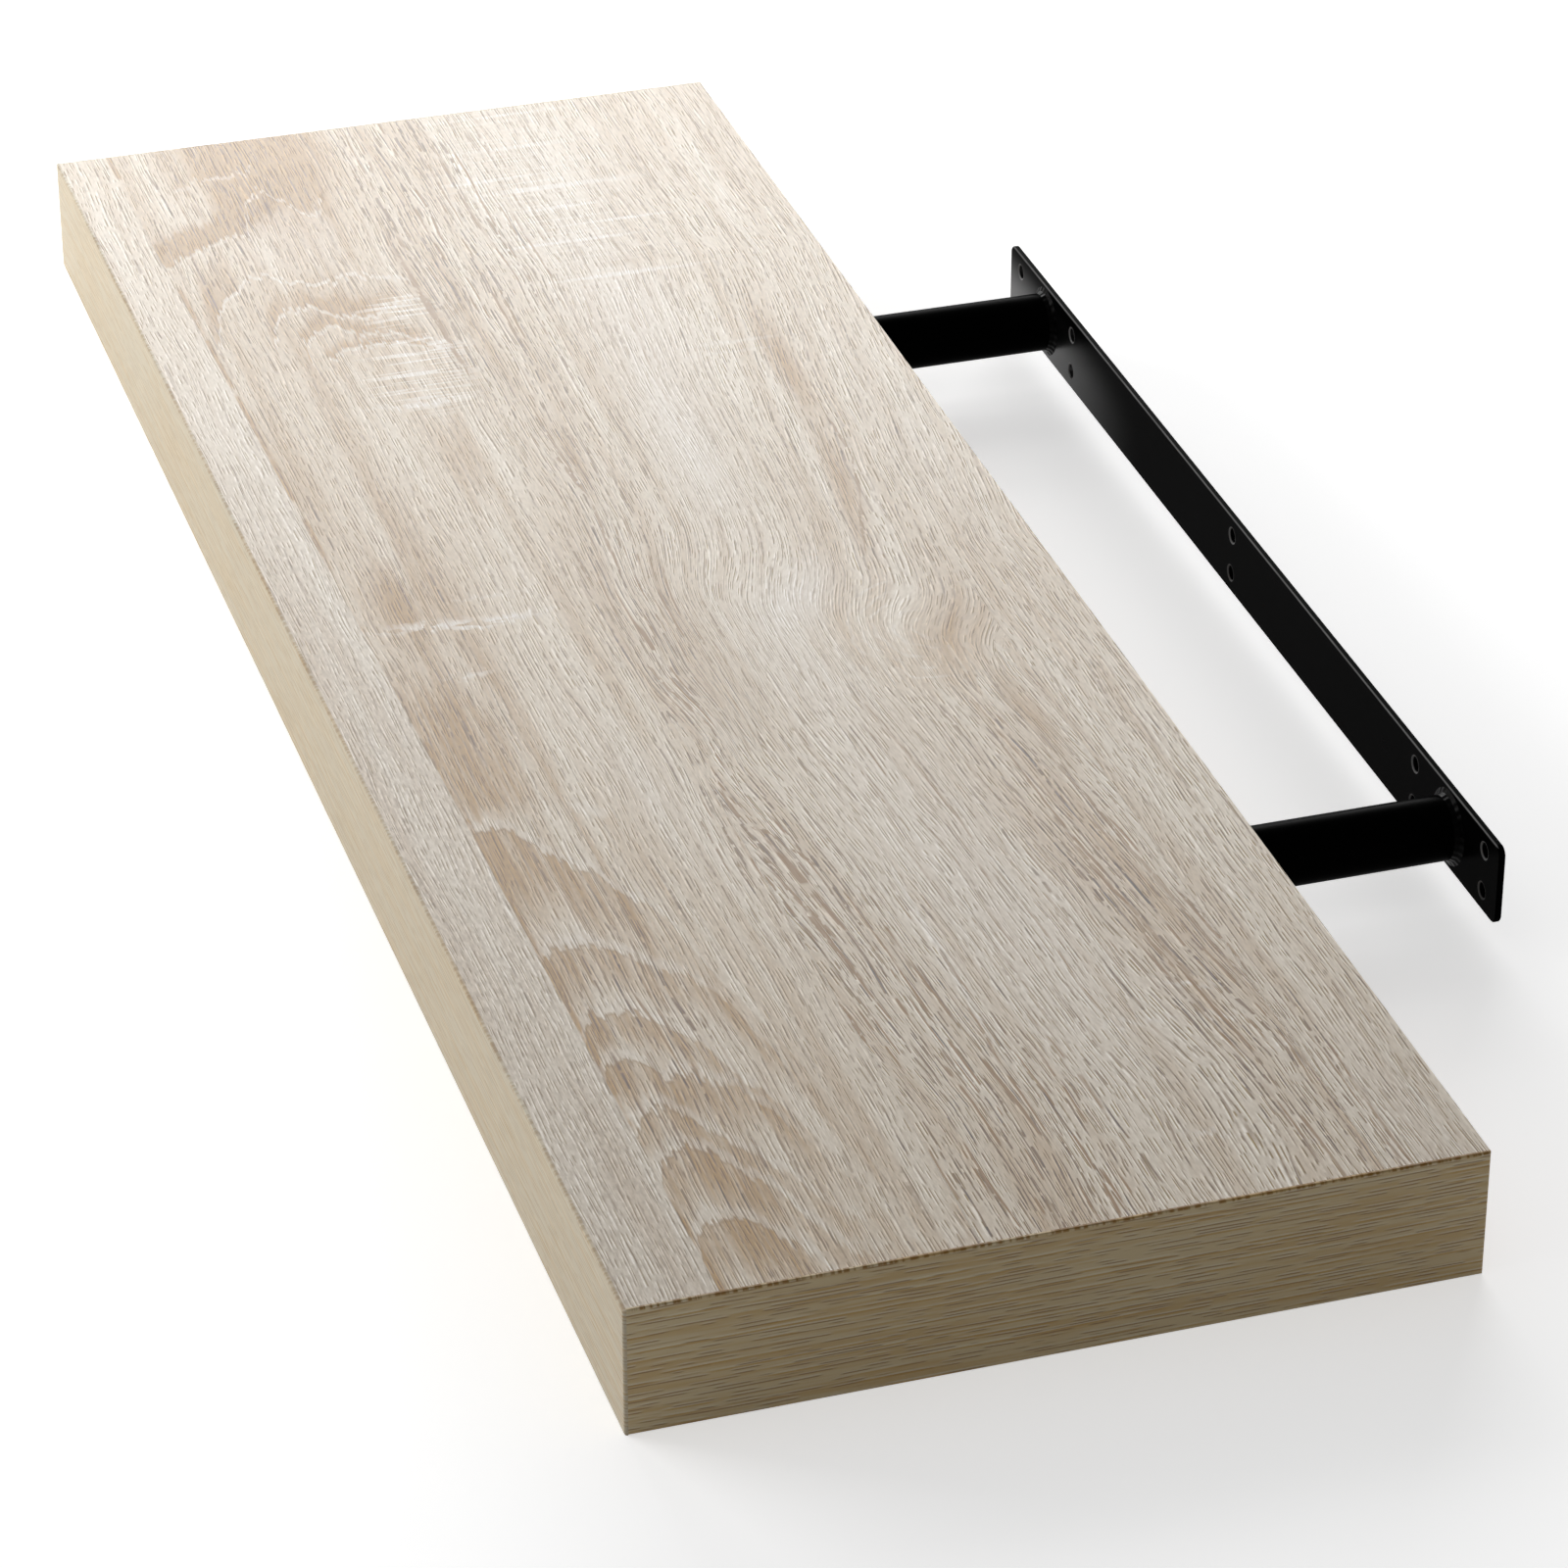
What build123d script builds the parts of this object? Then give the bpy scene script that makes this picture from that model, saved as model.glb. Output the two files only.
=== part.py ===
from build123d import *
import math
import os

# A hollow wall shelf on a concealed bracket, in millimetres.
# X runs along the shelf, +Y points to the wall, +Z is up.
# The origin is the middle of the bracket plate's back face, so the wall is the plane Y = 0.

# Bracket tubes and their welds
tube_diameter = 19.0
tube_wall = 1.5
tube_spacing = 340.0
tube_end_chamfer = 1.0
weld_leg = 2.0
weld_hollow = 0.35

# Bracket plate, tall enough for the weld and long enough for the outer screws
plate_thickness = 2.0
plate_weld_margin = 1.0
plate_corner_radius = 3.0
plate_edge_bevel = 0.3

# Screw holes in the plate, in upright pairs
hole_diameter = 4.5
hole_rim_bevel = 0.4
hole_from_edge = 6.0
hole_from_end = 10.0
hole_from_tube = 25.0

# Board
shelf_length = 700.0
shelf_depth = 230.0
laminate_thickness = 0.4
skin_thickness = 3.6
band_thickness = 1.0
band_edge_radius = 0.5
band_corner_radius = 0.9

# Frame inside the board
front_rail_width = 30.0
rear_rail_width = 40.0
end_rail_width = 30.0
guide_wall = 15.2

# Paper honeycomb between the rails
cell_across_flats = 24.0
paper_wall = 0.6
smallest_cell_share = 0.12

# Fits, and the free bore left in front of the tubes when the board is pushed home
tube_clearance = 0.3
plate_front_clearance = 0.5
plate_side_clearance = 2.5
weld_clearance = 0.5
bore_end_room = 47.0

# How far the board stands off the plate as it is shown
standoff = 65.6

# No edge is rounded or bevelled by more than this share of the wall that carries it
largest_round = 0.9
largest_bevel = 0.4

# Bracket sizes that follow
tube_radius = tube_diameter / 2
weld_radius = tube_radius + weld_leg
plate_height = 2 * (weld_radius + plate_weld_margin)
plate_length = tube_spacing + 2 * (hole_from_tube + hole_from_end)
plate_front = -plate_thickness
tube_length = shelf_depth - band_thickness - front_rail_width - bore_end_room - plate_thickness
tube_places = {"left": -tube_spacing / 2, "right": tube_spacing / 2}

# Board sizes that follow
frame_height = plate_height + 2 * plate_side_clearance
frame_top = frame_height / 2
skin_top = frame_top + skin_thickness
board_top = skin_top + laminate_thickness
shelf_thickness = 2 * board_top
board_back = plate_front - standoff
board_front = board_back - shelf_depth
panel_front = board_front + band_thickness
panel_depth = shelf_depth - band_thickness
panel_end = shelf_length / 2 - band_thickness
front_rail_back = panel_front + front_rail_width
rear_rail_back = board_back - plate_thickness - plate_front_clearance
rear_rail_front = rear_rail_back - rear_rail_width
bay_depth = rear_rail_front - front_rail_back
bay_end = panel_end - end_rail_width
bore_radius = tube_radius + tube_clearance
guide_half_width = bore_radius + guide_wall


def block(x_from, x_to, y_from, y_to, z_from, z_to):
    """A straight-sided piece between two opposite corners."""
    middle = ((x_from + x_to) / 2, (y_from + y_to) / 2, (z_from + z_to) / 2)
    return Pos(*middle) * Box(x_to - x_from, y_to - y_from, z_to - z_from)


def sheet(z_from, z_to):
    """A full sheet of the board, inside the edge bands."""
    return block(-panel_end, panel_end, panel_front, board_back, z_from, z_to)


def rail(x_from, x_to, y_from, y_to):
    """A straight piece of the frame between the two skins."""
    return block(x_from, x_to, y_from, y_to, -frame_top, frame_top)


def turned(x, y, *corners):
    """A piece turned about a line along Y: a corner is a radius and a distance from y, away from the wall."""
    section = make_face(Polyline(*corners, close=True))
    return Pos(x, y, 0) * Rot(0, 0, 180) * revolve(section, Axis.Y, 360)


def end_band(side):
    """The strip over one end of the board, its outer long edges and its rear corner rounded."""
    edge_radius = min(band_edge_radius, largest_round * band_thickness)
    section = Rectangle(band_thickness, shelf_thickness)
    section = fillet(section.vertices().group_by(Axis.X)[-1], edge_radius)
    outline = Rectangle(band_thickness, panel_depth)
    rear_corner = outline.vertices().group_by(Axis.X)[-1].sort_by(Axis.Y)[-1]
    outline = fillet(rear_corner, edge_radius)
    strip = extrude(Plane.XZ * section, panel_depth / 2, both=True)
    strip = strip & extrude(outline, board_top, both=True)
    if side < 0:
        strip = mirror(strip, Plane.YZ)
    return Pos(side * (panel_end + band_thickness / 2), panel_front + panel_depth / 2, 0) * strip


def front_strip():
    """The strip along the front, which also covers the front ends of the two end bands."""
    edge_radius = min(band_edge_radius, largest_round * band_thickness)
    corner_radius = min(band_corner_radius, largest_round * band_thickness)
    section = Rectangle(band_thickness, shelf_thickness)
    section = fillet(section.vertices().group_by(Axis.X)[0], edge_radius)
    outline = Rectangle(shelf_length, band_thickness)
    outline = fillet(outline.vertices().group_by(Axis.Y)[0], corner_radius)
    strip = extrude(Plane.YZ * section, shelf_length / 2, both=True)
    strip = strip & extrude(outline, board_top, both=True)
    return Pos(0, board_front + band_thickness / 2, 0) * strip


def rear_rail():
    """The rail behind the core, bored for the tubes, with mouths that clear the welds."""
    solid = rail(-bay_end, bay_end, rear_rail_front, rear_rail_back)
    mouth_radius = weld_radius + weld_clearance
    mouth_depth = mouth_radius - bore_radius
    for x in tube_places.values():
        solid -= turned(x, rear_rail_back, (0, 0), (mouth_radius, 0), (bore_radius, mouth_depth),
                        (bore_radius, rear_rail_width), (0, rear_rail_width))
    return solid


def guide_block(x):
    """A block between the front and rear rails, bored right through for one tube."""
    solid = rail(x - guide_half_width, x + guide_half_width, front_rail_back, rear_rail_front)
    return solid - turned(x, rear_rail_front, (0, 0), (bore_radius, 0), (bore_radius, bay_depth),
                          (0, bay_depth))


def honeycomb(x_from, x_to):
    """Paper cells standing on end that fill one bay from the front rail to the rear rail."""
    bay_length = x_to - x_from
    pitch = cell_across_flats + paper_wall
    row_pitch = pitch * math.sqrt(3) / 2
    columns = math.ceil(bay_length / pitch / 2) + 1
    rows = math.ceil(bay_depth / row_pitch / 2) + 1
    cell = RegularPolygon(cell_across_flats / 2, 6, major_radius=False, rotation=30)
    cells = []
    for row in range(-rows, rows + 1):
        shift = pitch / 2 if row % 2 else 0.0
        for column in range(-columns, columns + 1):
            cells.append(Pos(column * pitch + shift, row * row_pitch) * cell)
    clipped = (Sketch() + cells) & Rectangle(bay_length - 2 * paper_wall, bay_depth - 2 * paper_wall)
    smallest_area = smallest_cell_share * cell.area
    walls = Rectangle(bay_length, bay_depth)
    walls -= [face for face in clipped.faces() if face.area > smallest_area]
    foot = Pos((x_from + x_to) / 2, front_rail_back + bay_depth / 2, -frame_top)
    return foot * extrude(walls, frame_height)


def wall_plate():
    """The flat steel strip, its edges eased and its screw holes bevelled at the front."""
    outline = RectangleRounded(plate_length, plate_height, plate_corner_radius)
    plate = extrude(Plane.XZ * outline, plate_thickness)
    levels = plate.edges().group_by(Axis.Y)
    plate = chamfer(levels[0] + levels[-1], min(plate_edge_bevel, largest_bevel * plate_thickness))
    radius = hole_diameter / 2
    rim = min(hole_rim_bevel, largest_bevel * plate_thickness)
    hole = turned(0, 0, (0, 0), (radius, 0), (radius, plate_thickness - rim),
                  (radius + rim, plate_thickness), (0, plate_thickness))
    columns = [0.0]
    for x in tube_places.values():
        columns += [x - hole_from_tube, x + hole_from_tube]
    for x in columns:
        for side in (-1, 1):
            plate -= Pos(x, 0, side * (plate_height / 2 - hole_from_edge)) * hole
    return plate


def tube(x):
    """One carrying tube, square on the plate and eased at its free end."""
    inner = tube_radius - tube_wall
    ease = min(tube_end_chamfer, largest_round * tube_wall)
    return turned(x, plate_front, (inner, 0), (tube_radius, 0), (tube_radius, tube_length - ease),
                  (tube_radius - ease, tube_length), (inner, tube_length))


def weld(x):
    """The hollow fillet weld round the foot of one tube: its face dips towards the corner at mid-height."""
    dip = weld_hollow * weld_leg
    return turned(x, plate_front, (tube_radius, 0), (weld_radius, 0), (tube_radius + dip, dip),
                  (tube_radius, weld_leg))


nodes = {
    "top_laminate": sheet(skin_top, board_top),
    "top_panel": sheet(frame_top, skin_top),
    "bottom_panel": sheet(-skin_top, -frame_top),
    "bottom_laminate": sheet(-board_top, -skin_top),
    "front_rail": rail(-panel_end, panel_end, panel_front, front_rail_back),
    "rear_rail": rear_rail(),
    "left_end_rail": rail(-panel_end, -bay_end, front_rail_back, board_back),
    "right_end_rail": rail(bay_end, panel_end, front_rail_back, board_back),
    "front_band": front_strip(),
    "left_band": end_band(-1),
    "right_band": end_band(1),
    "wall_plate": wall_plate(),
}

for name, x in tube_places.items():
    nodes[name + "_guide_block"] = guide_block(x)
    nodes[name + "_tube"] = tube(x)
    nodes[name + "_weld"] = weld(x)

left_guide, right_guide = tube_places.values()
nodes["left_core"] = honeycomb(-bay_end, left_guide - guide_half_width)
nodes["centre_core"] = honeycomb(left_guide + guide_half_width, right_guide - guide_half_width)
nodes["right_core"] = honeycomb(right_guide + guide_half_width, bay_end)

os.makedirs("parts", exist_ok=True)
for name, shape in nodes.items():
    export_step(shape, f"parts/{name}.step")
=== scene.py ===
import math

import bpy
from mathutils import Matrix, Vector


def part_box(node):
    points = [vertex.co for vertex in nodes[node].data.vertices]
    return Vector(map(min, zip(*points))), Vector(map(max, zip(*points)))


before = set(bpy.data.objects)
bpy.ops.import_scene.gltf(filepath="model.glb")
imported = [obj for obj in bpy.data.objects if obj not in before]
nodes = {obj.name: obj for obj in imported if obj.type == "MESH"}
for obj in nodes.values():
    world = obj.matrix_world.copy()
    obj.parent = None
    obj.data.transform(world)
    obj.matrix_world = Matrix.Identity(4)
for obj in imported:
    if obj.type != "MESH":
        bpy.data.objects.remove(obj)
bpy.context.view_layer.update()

millimetre = 0.001

# The floor that the board lies on, in metres
floor_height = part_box("bottom_laminate")[0].z

# The board's back edge and top, in millimetres
back_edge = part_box("top_laminate")[1].y / millimetre
board_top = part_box("top_laminate")[1].z / millimetre

# The wall plate, in millimetres: its front, its top, and the x, height and rim radius of its holes,
# which are alike on either side of the middle
plate_low, plate_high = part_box("wall_plate")
plate_front = plate_low.y / millimetre
plate_top = plate_high.z / millimetre
hole_places = (0.0, 145.0, 195.0)
hole_height = 6.5
hole_rim = 2.65

# The camera, at the photograph's place
camera_place = (1.4705, -0.6081, 0.8594)
camera_azimuth = 72.567
camera_elevation = 30.723
camera_lens = 134.28
camera_sensor = 36.0

# Soft lamps, two beyond the far end and two in front: name, place, width and height, and power
softboxes = [
    ("far_softbox_low", (-2.0, 0.35, 0.5), (2.0, 0.5), 26.0),
    ("far_softbox_high", (-1.7, 0.35, 0.85), (1.6, 0.6), 12.8),
    ("front_softbox_far", (-1.0, -1.4, 0.5), (1.2, 0.6), 18.5),
    ("front_softbox_near", (0.0, -1.7, 0.6), (1.4, 0.7), 2.8),
]
lamp_aim = (0.0, -0.15, 0.0)
room_light = 0.23

# The white floor and the low wall far round it, in metres, and their glow to the eye as a share of white
floor_reach = 8.0
wall_rise = 2.4
floor_glow = 0.5
wall_glow = 1.0

# Colours as seen in plain light, red, green and blue from 0 to 255
pale_oak = (241, 232, 218)
tan_oak = (186, 146, 76)
bleached_oak = (247, 243, 239)
valley_shade = (224, 219, 211)
fibre_shade = (156, 128, 36)
speckle_shade = (236, 233, 229)
tick_shade = (142, 106, 6)
pore_brown = (132, 92, 16)
front_cream = (189, 177, 153)
# Shaded copy of the band colour for the near end band: yellower than the front band's cream, matched to
# that end's look in its shade
shade_matched_end_cream = (204, 185, 146)
edge_brown = (142, 112, 77)
edge_ochre = (182, 146, 84)
edge_grey = (222, 214, 190)
raw_board = (165, 132, 96)
raw_fibre = (122, 92, 62)
kraft_paper = (170, 132, 90)
kraft_fibre = (128, 96, 62)
coat_black = (3, 3, 3)
coat_worn = (9, 9, 9)
# Painted highlight: pale grey painted along the wall plate's top edge and round its holes, for the glint
# on their bevels
rim_highlight_grey = (120, 120, 120)
floor_white = (245, 245, 245)

# Depth of each material's bump, in metres
decor_depth = 0.000012
band_depth = 0.00003
fibreboard_depth = 0.0003
paper_depth = 0.0001
coat_depth = 0.00001
weld_depth = 0.00006

# Specular level of each material, and roughness of the clear coat on the plate
decor_specular = 0.5
band_specular = 0.4
raw_specular = 0.2
coat_specular = 0.002
weld_specular = 0.02
clear_coat_roughness = 0.3

# The decor's planks, in millimetres: x from the middle of the board, d from its back edge
plank_line = 137.0
front_line = 209.0
front_slope = -8.0 / 700
back_strip = 28.5

# Rows of fibres: pitch, length of a piece, half thickness of a line and length of its dashes
fine_rows = (1.0, 8.0, 0.25, 0)
coarse_rows = (2.0, 13.0, 0.3, 0)
thin_rows = (3.5, 32.0, 0.36, 6.0)
long_rows = (4.4, 40.0, 0.5, 15.0)
band_rows = (1.1, 11.0, 0.3, 0)
wide_band_rows = (2.3, 26.0, 0.4, 0)

# How much more tan the ground is, along x
far_to_near = [(-350, 0.11), (-150, 0.0), (60, 0.0), (130, -0.08), (300, -0.14)]

# How the grain of the back plank falls to the swirl: from and to in x, slope, and how it fades in d
approach = (-215.0, 0.0)
approach_slope = 0.1
approach_fade = (135.0, 45.0)

# The step of the grain at the swirl, as stops of x and height at the level d, and how it fades in d
swirl_step = [(-45, 0), (-25, 1), (-8, 4), (4, 8), (15, 12.5), (26, 16), (42, 17.5), (62, 17.5)]
swirl_level = 80.0
swirl_fade = (150.0, 92.0)

# The hump that turns the step back near the front of the plank: height, run in x, and how it starts in d
hump_height = 7.0
hump_run = (45.0, 95.0)
hump_fade = (112.0, 128.0)

# Where the swirl ends in a ragged line, and how the grain rises beyond it
swirl_end = 72.0
swirl_ragged = 90.0
departure = (80.0, 290.0)
departure_slope = 0.055

# The light arcs of the swirl: middle, reach and pitch, and the calm patch where fibres are faint
swirl_centre = (48.0, 50.0)
swirl_reach = 26.0
arc_pitch = 4.2
calm_centre = (46, 58)
calm_reach = (50, 32)

# An x far off the board, for stops beyond the ends of a rim
away = 400.0

# Rims of the cone near the left end, each stops of d and x, then reach and strength of the tan
# outside it, the d where that tan starts, and strength of the white along it
cone_rims = [
    ([(165, away), (167, -331), (169, -322), (188, -321), (196, -314), (199, away)], 10, 0.2, 160, 0.3),
    ([(148, away), (150, -295), (155, -281), (159, -287), (166, -302), (168, -308), (174, -302),
      (178, -287), (180, -274), (182, away)], 18, 0.4, 168, 0.45),
    ([(178, away), (180, -274), (187, -274), (195, -270), (204, -263), (211, -257)], 24, 0.7, 180, 0.4),
    ([(140, -227), (150, -233), (158, -235), (162, -231), (171, -233), (177, -237), (182, -243),
      (188, -241), (196, -230), (202, -219), (205, -207), (208, -191), (210, away)], 44, 0.5, 190, 0.6),
    ([(145, -211), (155, -204), (161, -203), (167, -206), (172, -212), (176, -216), (183, -212),
      (187, -204), (190, -193), (191, -176), (193, away)], 18, 0.35, 140, 0.6),
    ([(141, -180), (146, -184), (152, -190), (163, -190), (168, -198), (176, -197), (181, -189),
      (182, -173), (184, away)], 14, 0.5, 140, 0.55),
    ([(140, -173), (147, -179), (155, -180), (163, -182), (170, -181), (176, -176), (177, -150),
      (179, away)], 10, 0.5, 140, 0.55),
]

# Rims of the nested arches near the right end, each stops of d and x, then length and strength
# of the tan inside
arch_rims = [
    ([(140, 330), (150, 262), (158, 205), (164, 167), (165, 140), (167, 126), (173, 121),
      (178, 119), (180, away)], 60, 0.5),
    ([(141, 380), (150, 300), (158, 240), (165, 207), (168, 183), (171, 173), (176, 166),
      (179, 157), (181, 150), (186, 146), (190, 141), (194, 128), (197, 124), (202, 122),
      (207, 121), (209, 130)], 56, 1.0),
    ([(143, 390), (150, 320), (156, 272), (162, 241), (165, 222), (169, 214), (172, 208),
      (178, 204), (182, 199), (186, 192), (192, 187), (203, 186), (206, 190), (208, 200)], 30, 0.9),
    ([(152, 350), (160, 300), (168, 268), (174, 257), (177, 241), (182, 235), (186, 228),
      (192, 221), (200, 221), (204, 225), (207, 236)], 22, 0.9),
    ([(152, 365), (160, 312), (168, 280), (173, 268), (178, 262), (185, 256), (191, 254),
      (195, 247), (200, 243), (204, 246), (207, 256)], 25, 0.9),
    ([(165, 330), (175, 303), (187, 281), (191, 272), (197, 268), (202, 270), (205, 278)], 19, 0.7),
    ([(168, 345), (180, 310), (188, 293), (194, 287), (200, 288), (204, 295), (206, 306)], 32, 0.85),
    ([(165, 380), (180, 338), (190, 322), (199, 320), (203, 325), (206, 340)], 36, 0.85),
]

# Patches, strokes and dashes, each x, d, reach along, reach across, turn in degrees and strength
bleached_patches = [
    (-285, 76, 150, 46, 0, 0.3), (-150, 77, 120, 24, 3, 0.6), (-75, 85, 70, 16, 3, 0.5),
    (50, 92, 60, 20, -4, 0.4), (16, 78, 34, 16, 30, 0.8), (105, 156, 80, 14, -8, 0.35),
    (227, 103, 90, 1.2, 1, 0.7), (180, 198, 10, 12, 0, 0.3), (172, 39, 1.5, 6, 10, 0.6),
    (253, 45, 2.0, 9, 18, 0.8), (270, 42, 2.0, 8, 15, 0.8), (266, 66, 2.0, 20, 12, 0.5),
    (288, 32, 1.4, 6, 0, 0.6), (321, 66, 2.2, 10, 12, 0.7), (190, 82, 150, 34, -4, 0.5),
    (-60, 14, 110, 16, 0, 0.3), (330, 14, 70, 16, 0, 0.35),
]
bleached_spots = [
    (-264, 167, 34, 20, 8, 0.25),
]
sawn_patches = [
    (-280, 78, 110, 44, 0, 0.4), (-205, 146, 16, 16, 0, 1.4), (-157, 152, 34, 22, 0, 1.3),
    (-174, 143, 12, 14, 0, 1.0),
]
saw_strokes = [
    (-343, 74, 1.8, 34, 0, 0.6), (-316, 76, 2.2, 34, 0, 0.6), (-292, 95, 2.0, 22, 0, 0.9),
    (-281, 70, 2.4, 38, 0, 0.9), (-265, 74, 1.8, 22, 0, 0.7), (-250, 54, 1.8, 20, 0, 0.8),
    (-238, 82, 2.0, 34, 0, 0.9), (-209, 66, 2.0, 36, 0, 0.9), (-150, 50, 1.8, 22, 0, 0.5),
    (-143, 52, 1.4, 18, 0, 0.4),
]
cross_marks = [
    (-138, 155, 3.4, 24, 0, 0.8), (4, 186, 4.5, 26, 5, 0.9), (6, 168, 3.2, 22, -6, 0.8),
    (-9, 168, 2, 16, 0, 0.4), (35, 185, 3, 10, 0, 0.7),
]
tan_patches = [
    (-340, 168, 70, 34, 0, 1.0), (-215, 161, 12, 13, 0, 0.6), (-218, 65, 7, 15, 0, 0.5),
    (-130, 37, 50, 6, 0, 0.6), (-45, 44, 56, 7, 11, 0.6), (55, 46, 42, 18, 30, 0.5),
    (105, 36, 40, 9, 0, 0.5), (240, 38, 190, 20, -3.5, 0.35), (325, 117, 70, 30, 0, 0.35),
    (-100, 153, 50, 6, 4, 0.7), (-85, 119, 34, 3, 3, 0.6), (-60, 183, 120, 10, 0, 0.5),
    (-10, 196, 36, 14, 0, 0.7), (-330, 116, 80, 14, 0, 0.25), (-160, 122, 90, 16, 0, 0.25),
    (-150, 131, 260, 9, 0, 0.25), (-330, 158, 110, 22, 0, 0.5), (-80, 203, 120, 6, 0, 0.4),
    (-296, 178, 28, 13, 10, 0.7), (-276, 205, 20, 9, 50, 0.7), (-250, 172, 150, 42, 0, 0.35),
    (165, 192, 70, 24, 0, 0.12), (270, 150, 110, 18, 0, 0.1),
]
line_patches = [
    (-270, 116, 170, 32, 0, 1.9), (-230, 72, 160, 34, 0, 0.5), (30, 126, 80, 20, 0, 1.8),
    (-60, 122, 90, 12, 0, 1.0), (175, 128, 120, 18, -6, 1.8), (260, 115, 130, 26, -4, 1.2),
    (240, 39, 180, 20, -4, 1.8), (310, 114, 90, 34, 0, 1.9), (240, 186, 130, 26, 0, 0.9),
    (-310, 175, 70, 40, 0, 1.0), (-240, 195, 70, 22, 0, 0.7), (0, 190, 120, 22, 0, 0.5),
    (200, 75, 200, 25, -4, 0.4),
]
brown_dashes = [
    (184, 131, 26, 0.8, -9.5, 1.0), (161, 123.5, 8, 0.7, -17, 1.0), (145, 130, 7, 0.7, -27, 1.0),
    (128, 134.5, 11, 0.7, -4, 1.0), (207, 129.5, 25, 0.8, -6.6, 1.0), (244, 136.3, 15, 0.7, -2, 1.0),
    (260, 105.2, 19, 0.6, 2, 0.8), (227, 29.8, 27, 0.7, -6, 0.9), (198, 48.5, 14, 0.7, -8, 0.9),
    (232, 47, 20, 0.7, -3.4, 0.9), (189, 35.5, 95, 0.7, -4.3, 0.7), (214, 46.5, 66, 0.7, -5.2, 0.7),
    (-78, 123.5, 23, 0.8, -4.4, 0.9), (-40, 124, 21, 0.8, 6, 0.9), (56, 133, 13, 0.8, -10, 0.9),
    (76, 129, 12, 0.8, -12, 0.9), (-200, 136.2, 62, 1.2, 0, 1.0), (-75, 36.5, 17, 0.7, 2, 0.9),
    (-49, 40, 17, 0.7, 13, 0.9), (-18, 48, 22, 0.7, 15.5, 0.9),
]


def linear(colour):
    """The linear RGBA value of an sRGB colour given from 0 to 255."""
    shares = [channel / 255 for channel in colour]
    return [s / 12.92 if s <= 0.04045 else ((s + 0.055) / 1.055) ** 2.4 for s in shares] + [1.0]


class Field:
    """A number that varies over a surface: a node's output that takes plain arithmetic."""

    def __init__(self, tree, socket):
        self.tree = tree
        self.socket = socket

    def math(self, operation, *others):
        node = self.tree.nodes.new("ShaderNodeMath")
        node.operation = operation
        for place, value in enumerate((self, *others)):
            feed(value, node.inputs[place])
        return Field(self.tree, node.outputs[0])

    def __add__(self, other):
        return self.math("ADD", other)

    def __sub__(self, other):
        return self.math("SUBTRACT", other)

    def __mul__(self, other):
        return self.math("MULTIPLY", other)

    def times_plus(self, factor, offset):
        return self.math("MULTIPLY_ADD", factor, offset)

    def size(self):
        return self.math("ABSOLUTE")

    def at_least(self, low):
        return self.math("MAXIMUM", low)

    def at_most(self, high):
        return self.math("MINIMUM", high)

    def between(self, low, high):
        return self.at_least(low).at_most(high)

    def rest(self):
        """What is missing to 1."""
        return self.times_plus(-1.0, 1.0)

    def smooth(self, start, end):
        """0 at start and 1 at end, with a soft run between them."""
        node = self.tree.nodes.new("ShaderNodeMapRange")
        node.interpolation_type = "SMOOTHSTEP"
        feed(self, node.inputs["Value"])
        feed(start, node.inputs["From Min"])
        feed(end, node.inputs["From Max"])
        return Field(self.tree, node.outputs["Result"])

    def ramp(self, stops, manner):
        """A line through (value, height) stops with heights from 0 to 1."""
        low, high = stops[0][0], stops[-1][0]
        share = self.times_plus(1 / (high - low), -low / (high - low))
        node = self.tree.nodes.new("ShaderNodeValToRGB")
        line = node.color_ramp
        line.interpolation = manner
        while len(line.elements) < len(stops):
            line.elements.new(1.0)
        for element, (value, height) in zip(line.elements, stops):
            element.position = (value - low) / (high - low)
            element.color = (height, height, height, 1)
        feed(share, node.inputs["Fac"])
        return Field(self.tree, node.outputs["Color"])

    def follow(self, stops, manner="LINEAR"):
        """A line through (value, height) stops of any height, straight between them or smooth."""
        heights = [height for value, height in stops]
        low, span = min(heights), max(heights) - min(heights)
        shares = [(value, (height - low) / span) for value, height in stops]
        return self.ramp(shares, manner).times_plus(span, low)


def feed(value, socket):
    """Links a field to a socket, or sets the socket to a plain value."""
    if isinstance(value, Field):
        value.tree.links.new(value.socket, socket)
    else:
        socket.default_value = value


def vector(x, y):
    """Two fields as one place."""
    node = x.tree.nodes.new("ShaderNodeCombineXYZ")
    feed(x, node.inputs["X"])
    feed(y, node.inputs["Y"])
    return Field(x.tree, node.outputs["Vector"])


def distance(across, along):
    """The length of the way that goes so far across and so far along."""
    return (across * across + along * along).math("POWER", 0.5)


def noise(x, y, length, width, seed, detail=2.0, roughness=0.5):
    """Soft noise, about 0.5 on average, with grains of that length and width."""
    node = x.tree.nodes.new("ShaderNodeTexNoise")
    node.noise_dimensions = "2D"
    place = vector(x.times_plus(1 / length, 13.7 * seed), y.times_plus(1 / width, 7.9 * seed))
    feed(place, node.inputs["Vector"])
    node.inputs["Scale"].default_value = 1.0
    node.inputs["Detail"].default_value = detail
    node.inputs["Roughness"].default_value = roughness
    return Field(x.tree, node.outputs[0])


def mark(place, centre, reach, turn):
    """1 in the middle of a turned ellipse, falling to 0 at its rim."""
    mapping = place.tree.nodes.new("ShaderNodeMapping")
    mapping.vector_type = "TEXTURE"
    feed(place, mapping.inputs["Vector"])
    mapping.inputs["Location"].default_value = (centre[0], centre[1], 0)
    mapping.inputs["Rotation"].default_value = (0, 0, math.radians(turn))
    mapping.inputs["Scale"].default_value = (reach[0], reach[1], 1)
    fall = place.tree.nodes.new("ShaderNodeTexGradient")
    fall.gradient_type = "SPHERICAL"
    place.tree.links.new(mapping.outputs["Vector"], fall.inputs["Vector"])
    return Field(place.tree, fall.outputs[1])


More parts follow.
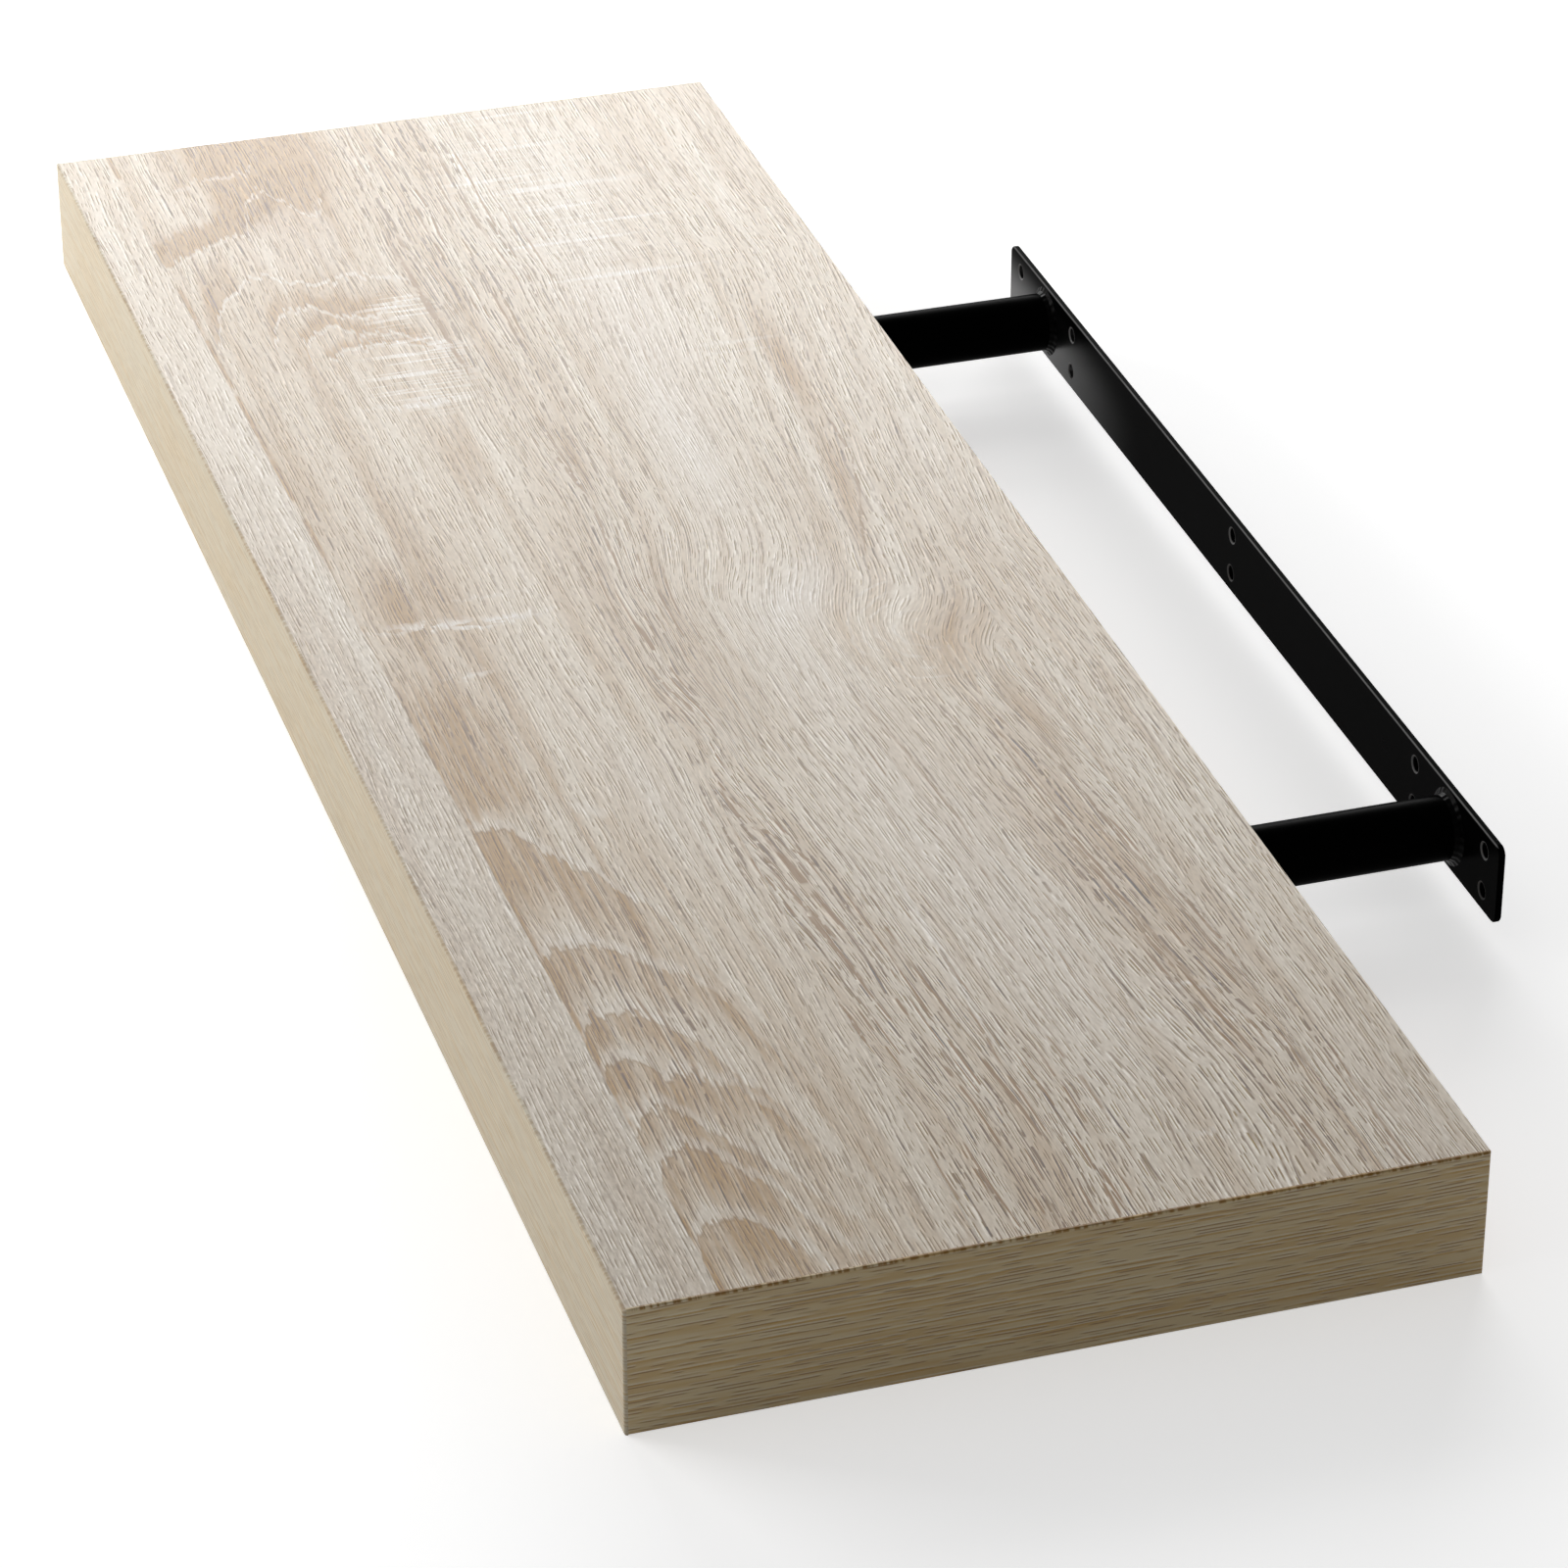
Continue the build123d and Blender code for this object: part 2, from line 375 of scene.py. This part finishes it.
def marks(place, figures, firm=False):
    """The sum of several marks, each (x, d, reach along, reach across, turn, strength).

    A firm mark has a flat top and a clear rim.
    """
    total = None
    for x, d, along, across, turn, strength in figures:
        one = mark(place, (x, d), (along, across), turn)
        if firm:
            one = one.smooth(0.05, 0.35)
        total = one * strength if total is None else one.times_plus(strength, total)
    return total


def blend(first, second, share, tree, manner="MIX"):
    """A colour between two colours, each a field or an sRGB triple."""
    node = tree.nodes.new("ShaderNodeMix")
    node.data_type = "RGBA"
    node.blend_type = manner
    feed(share, node.inputs["Factor"])
    sockets = [socket for socket in node.inputs if socket.type == "RGBA"]
    for colour, socket in zip((first, second), sockets):
        feed(colour if isinstance(colour, Field) else linear(colour), socket)
    results = [socket for socket in node.outputs if socket.type == "RGBA"]
    return Field(tree, results[0])


def tint(colour, shade, share, tree):
    """A colour darkened by a share of a shade."""
    return blend(colour, shade, share, tree, "MULTIPLY")


def new_material(name):
    """A material with its node tree and its shader."""
    material = bpy.data.materials.new(name)
    material.use_nodes = True
    return material, material.node_tree, material.node_tree.nodes["Principled BSDF"]


def surface(tree, shader, colour, roughness, height, depth, specular):
    """Feeds the shader: colour and roughness fields, a bump of that depth in metres, and gloss."""
    feed(colour, shader.inputs["Base Color"])
    feed(roughness, shader.inputs["Roughness"])
    shader.inputs["Specular IOR Level"].default_value = specular
    bump = tree.nodes.new("ShaderNodeBump")
    bump.inputs["Strength"].default_value = 1.0
    bump.inputs["Distance"].default_value = depth
    feed(height, bump.inputs["Height"])
    tree.links.new(bump.outputs["Normal"], shader.inputs["Normal"])


def position(tree):
    """The place on the part, in millimetres."""
    place = tree.nodes.new("ShaderNodeTexCoord")
    parts = tree.nodes.new("ShaderNodeSeparateXYZ")
    tree.links.new(place.outputs["Object"], parts.inputs["Vector"])
    return [Field(tree, parts.outputs[axis]) * (1 / millimetre) for axis in "XYZ"]


def row_lines(x, across, rows, seed):
    """Broken lines along the grain, one to each row: how dark, and how light beside it."""
    pitch, length, thickness, dash = rows
    count = across * (1 / pitch)
    row = count.math("FLOOR")
    piece = noise(x, row, length, 0.37, seed, detail=1).smooth(0.43, 0.59)
    if dash:
        piece = piece * noise(x, row, dash, 0.37, seed + 0.25, detail=1).smooth(0.36, 0.5)
    aside = (noise(x, row, 6 * length, 0.37, seed + 0.5, detail=0) - 0.5) * pitch
    height = count.math("FRACT") * pitch - aside - 0.4 * pitch
    dark = height.size().smooth(thickness, 0.3 * thickness) * piece
    light = (height - 1.4 * thickness).size().smooth(thickness, 0.3 * thickness) * piece
    return dark, light


def fibres(x, grain, seed):
    """Fine, coarse, thin and long fibres along the grain, their light sides, and how far rows jut out."""
    wavy = grain + (noise(x, grain, 60, 4, seed, detail=1) - 0.5) * 1.2
    coarse_line = wavy + noise(x, grain, 150, 8, seed + 2) * 3.0
    long_line = wavy + noise(x, grain, 200, 12, seed + 4) * 6.0
    thin_line = wavy + noise(x, grain, 180, 10, seed + 7) * 5.0
    fine, fine_light = row_lines(x, wavy, fine_rows, seed + 1)
    coarse, coarse_light = row_lines(x, coarse_line, coarse_rows, seed + 3)
    long, long_light = row_lines(x, long_line, long_rows, seed + 5)
    thin = row_lines(x, thin_line, thin_rows, seed + 8)[0]
    light = fine_light.at_least(coarse_light)
    tooth = noise(x, wavy.math("FLOOR"), 40, 0.37, seed + 6, detail=0) - 0.5
    return fine, coarse, thin, long, light, long_light, tooth


class Decor:
    """A point of the oak decor: its place, the wavy line that it lies on, and its share of each plank."""

    def __init__(self, tree, seed):
        self.seed = seed
        self.x, y, z = position(tree)
        self.d = y.times_plus(-1.0, back_edge)
        drift = noise(self.x, self.d, 110, 30, seed + 1) - 0.5
        self.tremble = noise(self.x, self.d, 16, 5, seed + 2) - 0.5
        self.line = self.d + drift * 5.0 + self.tremble * 0.4
        self.in_back = self.d.smooth(plank_line + 0.4, plank_line - 0.4)
        self.forward = self.d - self.x * front_slope
        self.in_front = self.forward.smooth(front_line - 0.3, front_line + 0.3)
        self.in_middle = (self.in_back + self.in_front).rest()


def figured_grain(decor):
    """Distance across the grain on the top, with the bends of the back plank."""
    x, d = decor.x, decor.d
    below_strip = d.smooth(back_strip, back_strip + 0.6)
    fall = (x.between(*approach) - approach[0]) * d.smooth(*approach_fade) * approach_slope
    lead = ((d - swirl_level) * 0.9).at_most((d - swirl_level) * 0.5)
    step = (x + lead).follow(swirl_step, "B_SPLINE") * d.smooth(*swirl_fade)
    hump = d.smooth(*hump_fade) * x.smooth(*hump_run) * hump_height
    before = decor.line - (fall + (step - hump) * below_strip) * decor.in_back
    slope = d.smooth(70.0, 40.0) * 0.025 + d.smooth(95.0, 135.0) * 0.035 + departure_slope
    rise = (x.between(*departure) - departure[0]) * slope
    after = decor.line + rise * below_strip * decor.in_back
    ragged = x + (noise(x, d, 40, 2.5, 95) - 0.5) * swirl_ragged - d.smooth(100.0, 125.0) * 30.0
    past = ragged.math("GREATER_THAN", swirl_end) * decor.in_back
    return before + (after - before) * past


def arches(x, d, jag):
    """The nested arches on the middle plank: tan, firm at each rim, an outline and the pale beside it."""
    streaky = d + (noise(x, d, 45, 2.5, 91, detail=3) - 0.5) * 30.0
    tan = x.smooth(-2.0, 60.0) * (x + jag * 1.5).smooth(120.0, 104.0) * streaky.smooth(170.0, 200.0)
    outline, pale = None, None
    for line, length, strength in arch_rims:
        gap = x - d.follow(line) + jag
        fill = gap.smooth(-0.7, 0.7) * gap.smooth(length, length * 0.3)
        tan = fill.times_plus(strength, tan)
        edge = gap.size().smooth(1.2, 0.3)
        rim = (gap + 4.0).size().smooth(4.0, 1.0)
        outline = edge if outline is None else outline.at_least(edge)
        pale = rim if pale is None else pale.at_least(rim)
    streak = noise(x, d, 60, 1.8, 92, detail=2).smooth(0.3, 0.6) * 0.5 + 0.55
    tan = tan * streak * (streaky.smooth(150.0, 190.0) * 0.75 + 0.25)
    return tan, outline * d.smooth(175.0, 190.0), pale * d.smooth(155.0, 175.0)


def cone_rings(x, d, jag):
    """Rings round the cone of the middle plank: tan outside each rim, and white along it."""
    tan, white = None, None
    for line, reach, strength, start, whiteness in cone_rims:
        gap = x - d.follow(line) + jag
        outside = gap.smooth(-reach, -0.3 * reach) * gap.smooth(0.6, -0.6)
        fill = outside * d.smooth(start, start + 6.0) * strength
        edge = gap.size().smooth(2.0, 0.6) * whiteness
        tan = fill if tan is None else tan + fill
        white = edge if white is None else white.at_least(edge)
    return tan, white


def swirl_arcs(x, d, seed):
    """Light arcs round the swirl of the back plank."""
    across = (x - swirl_centre[0]) * 0.74
    along = d - swirl_centre[1]
    radius = distance(across, along) + (noise(x, d, 22, 16, seed) - 0.5) * 9.0
    ring = (radius * (2 * math.pi / arc_pitch)).math("SINE").smooth(0.55, 0.95)
    broken = noise(x, d, 14, 10, seed + 1).smooth(0.35, 0.55)
    return ring * radius.smooth(swirl_reach, swirl_reach - 4.0) * along.smooth(-4.0, 6.0) * broken


def figure(decor, tooth):
    """What the photographed figure adds to the plain grain: tan, bleach, long lines and brown dashes."""
    x, d, seed = decor.x, decor.d, decor.seed
    jag = decor.tremble * 4.0 + tooth * 9.0
    place = vector(x + jag, decor.line)
    behind = decor.in_front.rest()
    cone_tan, cone_white = cone_rings(x, d, jag)
    arch_tan, outline, arch_pale = arches(x, d, jag)

    # Tan of the cone, the arches, the front seam and the patches
    seam = decor.forward.smooth(front_line - 2.2, front_line - 0.8) * behind
    tan = (arch_tan * 0.74 + cone_tan * 1.1) * decor.in_middle
    tan = tan + seam * noise(x, d, 25, 200, seed + 13).smooth(0.4, 0.6) * 0.9
    tan = tan + marks(place, tan_patches) * behind + x.follow(far_to_near)

    # Bleach of the rims, the patches, the saw and the swirl
    sawn = noise(x, d, 1.8, 26, seed + 14, detail=1).smooth(0.5, 0.62) * marks(place, sawn_patches)
    bleach = (cone_white + arch_pale * 0.3) * decor.in_middle + marks(place, bleached_patches) + sawn
    bleach = bleach + marks(place, bleached_spots, firm=True)
    patchy = noise(x, d, 4, 7, seed + 16).smooth(0.36, 0.52)
    bleach = bleach + marks(vector(x + jag * 0.6, d), cross_marks) * patchy * 1.3
    bleach = bleach + marks(vector(x + jag * 0.15, d), saw_strokes)
    bleach = bleach + swirl_arcs(x, d, seed + 15) * 0.35

    # Brown dashes, broken along their length, and the outlines of the arches
    dashes = marks(vector(x + jag * 0.5, d + decor.tremble * 1.5), brown_dashes, firm=True)
    dashes = dashes * noise(x, d, 5, 2, seed + 18, detail=1).smooth(0.3, 0.42) * 0.9
    dashes = dashes.at_least(outline * decor.in_middle * 0.5)
    return tan, bleach, marks(place, line_patches), dashes


def oak_decor(name, seed, figured):
    """Printed oak decor of the laminate: with the figure on the top, plain straight grain underneath."""
    material, tree, shader = new_material(name)
    decor = Decor(tree, seed)
    x, d = decor.x, decor.d
    grain = figured_grain(decor) if figured else decor.line
    fine, coarse, thin, long, light, long_light, tooth = fibres(x, grain, seed + 3)
    tone = (noise(x, grain, 150, 6, seed + 11, detail=2, roughness=0.4) - 0.5) * 1.1 + 0.22
    bleach = decor.in_front * x.smooth(-450.0, -100.0) * 0.3
    presence = decor.in_back * 0.15 + 0.08
    if figured:
        more_tan, more_bleach, more_lines, dashes = figure(decor, tooth)
        tone = tone + more_tan
        bleach = bleach + more_bleach
        presence = presence + more_lines
    bleach = bleach.at_most(1.0)

    # The ground
    colour = blend(pale_oak, tan_oak, tone.at_least(0.0), tree)
    colour = blend(colour, bleached_oak, bleach, tree)
    light = light.at_least((long_light * presence).at_most(1.0))
    colour = tint(colour, valley_shade, light.rest(), tree)
    grit = noise(x, grain, 3.5, 0.8, seed + 17, detail=2).smooth(0.4, 0.62)
    colour = tint(colour, valley_shade, grit * 0.5, tree)

    # The fibres, fainter where the ground is bleached and in the calm of the swirl
    clear = bleach.times_plus(-0.6, 1.0)
    if figured:
        clear = clear * mark(vector(x, d), calm_centre, calm_reach, 0).times_plus(-0.6, 1.0)
    fine_share = fine * clear * (decor.in_back * 0.2 + 0.8)
    coarse_share = coarse * clear * (presence * 0.7 + 0.42)
    thin_share = thin * clear * (presence * 0.9 + 0.5)
    colour = tint(colour, fibre_shade, fine_share, tree)
    colour = tint(colour, tick_shade, coarse_share.at_most(1.0), tree)
    colour = tint(colour, tick_shade, thin_share.at_most(1.0), tree)

    # Speckles on the front plank, then the long pores and the dashes
    speckle = noise(x, d, 4.0, 1.4, seed + 12, detail=3).smooth(0.45, 0.62)
    speckle = speckle * decor.in_front * x.smooth(-200.0, 100.0)
    colour = tint(colour, speckle_shade, speckle, tree)
    colour = blend(colour, pore_brown, (long * presence).at_most(1.0), tree)
    if figured:
        colour = blend(colour, pore_brown, dashes, tree)
    surface(tree, shader, colour, fine * 0.1 + 0.42, light - fine - coarse, decor_depth, decor_specular)
    return material


def oak_band(name, along, seed, cream, strength):
    """Edge band with fine straight grain along its length, and dark pore ends at its top edge."""
    material, tree, shader = new_material(name)
    x, y, z = position(tree)
    run = x if along == "X" else y
    wave = z + (noise(run, z, 90, 14, seed) - 0.5) * 1.2
    dark, light = row_lines(run, wave, band_rows, seed + 1)
    brown, glint = row_lines(run, wave + 7.3, wide_band_rows, seed + 2)
    streak = noise(run, wave, 70, 2.2, seed + 3, detail=2).smooth(0.4, 0.65)
    ticks = noise(run, z, 1.6, 30, seed + 4, detail=2).smooth(0.42, 0.58)
    ticks = ticks * z.smooth(board_top - 0.9, board_top - 0.4)
    colour = blend(cream, edge_ochre, streak * 0.5 * strength, tree)
    colour = blend(colour, edge_grey, light.at_least(glint) * 0.6 * strength, tree)
    colour = blend(colour, edge_brown, dark * 0.8 * strength, tree)
    colour = blend(colour, edge_ochre, brown * 0.8 * strength, tree)
    colour = blend(colour, pore_brown, ticks * 0.9 * strength, tree)
    surface(tree, shader, colour, dark * 0.1 + 0.45, light - dark - brown, band_depth, band_specular)
    return material


def fibreboard(name):
    """Raw fibreboard: matted wood fibre with darker flecks."""
    material, tree, shader = new_material(name)
    x, y, z = position(tree)
    run = x + y
    mat = noise(run, z, 2.2, 0.7, 3, detail=4)
    fleck = noise(run, z, 1.2, 0.5, 5, detail=2).smooth(0.58, 0.72)
    colour = blend(raw_board, raw_fibre, mat.smooth(0.35, 0.75) * 0.55 + fleck * 0.3, tree)
    surface(tree, shader, colour, mat * 0.2 + 0.75, mat, fibreboard_depth, raw_specular)
    return material


def paper(name):
    """Kraft paper of the honeycomb, with its long fibres."""
    material, tree, shader = new_material(name)
    x, y, z = position(tree)
    fibre = noise(x + y, z, 1.0, 6.0, 11, detail=4)
    colour = blend(kraft_paper, kraft_fibre, fibre.smooth(0.4, 0.7) * 0.7, tree)
    surface(tree, shader, colour, fibre * 0.2 + 0.75, fibre, paper_depth, raw_specular)
    return material


def coat_clouds(x, y, z):
    """Soft clouds in the black powder coat, and the roughness that goes with them."""
    cloud = noise(x, y + z, 18, 9, 22, detail=3)
    return cloud, cloud * 0.1 + 0.25


def black_coat(x, y, z, tree):
    """Black powder coat: its clouds, roughness and colour, and the height of its orange-peel skin."""
    cloud, roughness = coat_clouds(x, y, z)
    colour = blend(coat_black, coat_worn, cloud.smooth(0.5, 0.8) * 0.3, tree)
    peel = noise(x + z * 0.6, y + z * 0.8, 0.9, 0.9, 21, detail=2)
    return cloud, roughness, colour, peel


def tube_coat(name):
    """The coat of a tube."""
    material, tree, shader = new_material(name)
    cloud, roughness, colour, peel = black_coat(*position(tree), tree)
    surface(tree, shader, colour, roughness, peel, coat_depth, coat_specular)
    return material


def plate_coat(name):
    """The coat of the wall plate: a painted highlight in pale grey on its front rims, glossier low down
    at its left end.
    """
    material, tree, shader = new_material(name)
    x, y, z = position(tree)
    cloud, roughness, colour, peel = black_coat(x, y, z, tree)
    # Painted highlight along the plate's top edge and round the rim of each hole, on the front face only
    rim_highlight = z.smooth(plate_top - 0.5, plate_top - 0.2)
    for centre in hole_places:
        radius = distance(x.size() - centre, z.size() - hole_height)
        rim_highlight = rim_highlight.at_least(radius.smooth(hole_rim + 0.25, hole_rim))
    rim_highlight = rim_highlight * y.smooth(plate_front + 0.5, plate_front + 0.2) * (cloud * 0.6 + 0.4)
    colour = blend(colour, rim_highlight_grey, rim_highlight, tree)
    surface(tree, shader, colour, roughness, peel, coat_depth, coat_specular)
    gloss = x.smooth(-80.0, -205.0) * z.smooth(plate_top, -0.5 * plate_top)
    feed(gloss, shader.inputs["Coat Weight"])
    shader.inputs["Coat Roughness"].default_value = clear_coat_roughness
    return material


def weld_coat(name, tube):
    """The coat over a weld bead, whose ripples run round the tube at that x."""
    material, tree, shader = new_material(name)
    x, y, z = position(tree)
    cloud, roughness = coat_clouds(x, y, z)
    turn = z.math("ARCTAN2", x - tube)
    ripple = (turn * 26.0 + cloud * 3.0).math("SINE")
    colour = blend(coat_black, coat_worn, ripple * 0.3 + 0.3, tree)
    surface(tree, shader, colour, roughness, ripple, weld_depth, weld_specular)
    return material


def dress(material, *names):
    """Gives the named pieces one material."""
    for name in names:
        nodes[name].data.materials.clear()
        nodes[name].data.materials.append(material)


dress(oak_decor("oak_decor_top", 1, True), "top_laminate")
dress(oak_decor("oak_decor_under", 31, False), "bottom_laminate")
dress(oak_band("oak_band_front", "X", 51, front_cream, 0.45), "front_band")
# The near end band wears the shaded copy of the band colour, with its grain at full strength
dress(oak_band("oak_band_end_shade_copy", "Y", 61, shade_matched_end_cream, 1.0), "right_band")
dress(oak_band("oak_band_far_end", "Y", 71, front_cream, 0.6), "left_band")
dress(fibreboard("raw_fibreboard"), "top_panel", "bottom_panel", "front_rail", "rear_rail",
      "left_end_rail", "right_end_rail", "left_guide_block", "right_guide_block")
dress(paper("honeycomb_kraft"), "left_core", "centre_core", "right_core")
dress(plate_coat("black_plate_coat"), "wall_plate")
for side in ("left", "right"):
    low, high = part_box(side + "_tube")
    dress(tube_coat(side + "_tube_coat"), side + "_tube")
    dress(weld_coat(side + "_weld_coat", (low.x + high.x) / 2 / millimetre), side + "_weld")


def seen_ray(tree):
    """1 for rays that show the floor itself: camera, mirror and glass rays."""
    path = tree.nodes.new("ShaderNodeLightPath")
    names = ("Is Camera Ray", "Is Glossy Ray", "Is Transmission Ray")
    camera_ray, glossy_ray, transmission_ray = [Field(tree, path.outputs[name]) for name in names]
    return camera_ray.at_least(glossy_ray).at_least(transmission_ray)


def pale_backdrop(name, glow):
    """A white sheet that keeps its shadows and glows to the eye by a share of white."""
    material, tree, shader = new_material(name)
    shader.inputs["Base Color"].default_value = linear(floor_white)
    shader.inputs["Roughness"].default_value = 0.9
    shader.inputs["Specular IOR Level"].default_value = 0.0
    shader.inputs["Emission Color"].default_value = (1, 1, 1, 1)
    feed(seen_ray(tree) * glow, shader.inputs["Emission Strength"])
    return material


def stage_sheet(name, corners, faces, material):
    """A sheet of the stage, which is no piece of the part."""
    mesh = bpy.data.meshes.new(name)
    mesh.from_pydata(corners, [], faces)
    mesh.materials.append(material)
    sheet = bpy.data.objects.new(name, mesh)
    bpy.context.scene.collection.objects.link(sheet)


def floor_and_wall():
    """A white floor under the board, and a low white wall far round it."""
    sides = ((-1, -1), (1, -1), (1, 1), (-1, 1))
    corners = [(x * floor_reach, y * floor_reach, floor_height) for x, y in sides]
    raised = [(x, y, z + wall_rise) for x, y, z in corners]
    walls = [(i, (i + 1) % 4, (i + 1) % 4 + 4, i + 4) for i in range(4)]
    stage_sheet("studio_floor", corners, [(0, 1, 2, 3)], pale_backdrop("floor_white", floor_glow))
    stage_sheet("studio_wall", corners + raised, walls, pale_backdrop("wall_white", wall_glow))


def softbox(name, place, size, power):
    """A flat lamp at a place, turned to the board."""
    lamp = bpy.data.lights.new(name, "AREA")
    lamp.shape = "RECTANGLE"
    lamp.size, lamp.size_y = size
    lamp.energy = power
    holder = bpy.data.objects.new(name, lamp)
    holder.location = place
    direction = Vector(lamp_aim) - Vector(place)
    holder.rotation_euler = direction.to_track_quat("-Z", "Y").to_euler()
    bpy.context.scene.collection.objects.link(holder)


def white_room():
    """Dim white light from all round."""
    world = bpy.data.worlds.new("studio_room")
    world.use_nodes = True
    background = world.node_tree.nodes["Background"]
    background.inputs["Color"].default_value = (1, 1, 1, 1)
    background.inputs["Strength"].default_value = room_light
    bpy.context.scene.world = world


def photograph_camera():
    """The camera at the photograph's place and angle."""
    lens = bpy.data.cameras.new("photo_camera")
    lens.lens = camera_lens
    lens.sensor_width = camera_sensor
    lens.clip_start = 0.01
    camera = bpy.data.objects.new("photo_camera", lens)
    camera.location = camera_place
    camera.rotation_euler = (math.radians(90 - camera_elevation), 0, math.radians(camera_azimuth))
    bpy.context.scene.collection.objects.link(camera)
    bpy.context.scene.camera = camera


floor_and_wall()
for name, place, size, power in softboxes:
    softbox(name, place, size, power)
white_room()
photograph_camera()
bpy.context.scene.view_settings.view_transform = "Standard"
